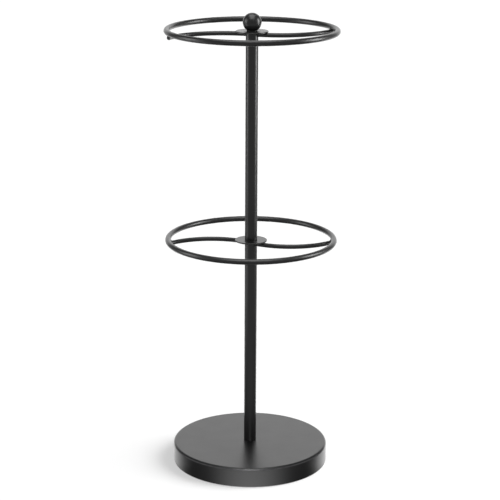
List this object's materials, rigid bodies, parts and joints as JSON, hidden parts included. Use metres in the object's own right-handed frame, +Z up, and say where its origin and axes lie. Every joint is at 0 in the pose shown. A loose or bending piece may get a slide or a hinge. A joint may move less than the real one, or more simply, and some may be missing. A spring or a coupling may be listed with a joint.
{
  "type": "rotating display rack",
  "caption": "Tabletop rotating display rack: wire hoops on bowed arms turn about a slim post with a ball finial on a weighted round base; glasses hang on the hoops.",
  "frame": {"origin": "on the post's axis, at the underside of the foot pad, where the rack stands", "axes": "+Z up along the post, -Y to the front, +X to the right as seen from the front"},
  "size_m": [0.1528, 0.1528, 0.4109],
  "materials": {
    "satin_black_paint": "satin powder coat",
    "cast_weight": "as cast, painted black",
    "foam_rubber": "closed-cell foam, matte",
    "zinc_steel": "zinc plated",
    "slide_plastic": "moulded nylon"
  },
  "bodies": {
    "stand": {"base_shell": "satin_black_paint", "base_weight": "cast_weight", "base_pad": "foam_rubber", "post_bolt": "zinc_steel", "post_bolt_washer": "zinc_steel", "post_bolt_lock_washer": "zinc_steel", "lower_post_tube": "satin_black_paint", "lower_post_bottom_insert": "zinc_steel", "lower_post_top_insert": "zinc_steel", "lower_hub_stud": "zinc_steel", "lower_hub_bushing": "slide_plastic", "lower_hub_washer_below": "slide_plastic", "lower_hub_washer_above": "slide_plastic", "upper_post_tube": "satin_black_paint", "upper_post_bottom_insert": "zinc_steel", "upper_post_top_insert": "zinc_steel", "finial_stud": "zinc_steel", "upper_hub_bushing": "slide_plastic", "upper_hub_washer_below": "slide_plastic", "upper_hub_washer_above": "slide_plastic", "finial_ball": "satin_black_paint"},
    "lower_tier": {"lower_ring": "satin_black_paint", "lower_hub_disc": "satin_black_paint", "lower_arm_left": "satin_black_paint", "lower_arm_right": "satin_black_paint"},
    "upper_tier": {"upper_ring": "satin_black_paint", "upper_hub_disc": "satin_black_paint", "upper_arm_left": "satin_black_paint", "upper_arm_right": "satin_black_paint"}
  },
  "joints": [
    {"name": "lower_tier_spin", "type": "hinge", "parent": "stand", "child": "lower_tier", "pos_m": [0, 0, 0.2082], "axis": [0, 0, 1], "continuous": true},
    {"name": "upper_tier_spin", "type": "hinge", "parent": "stand", "child": "upper_tier", "pos_m": [0, 0, 0.3947], "axis": [0, 0, 1], "continuous": true}
  ]
}
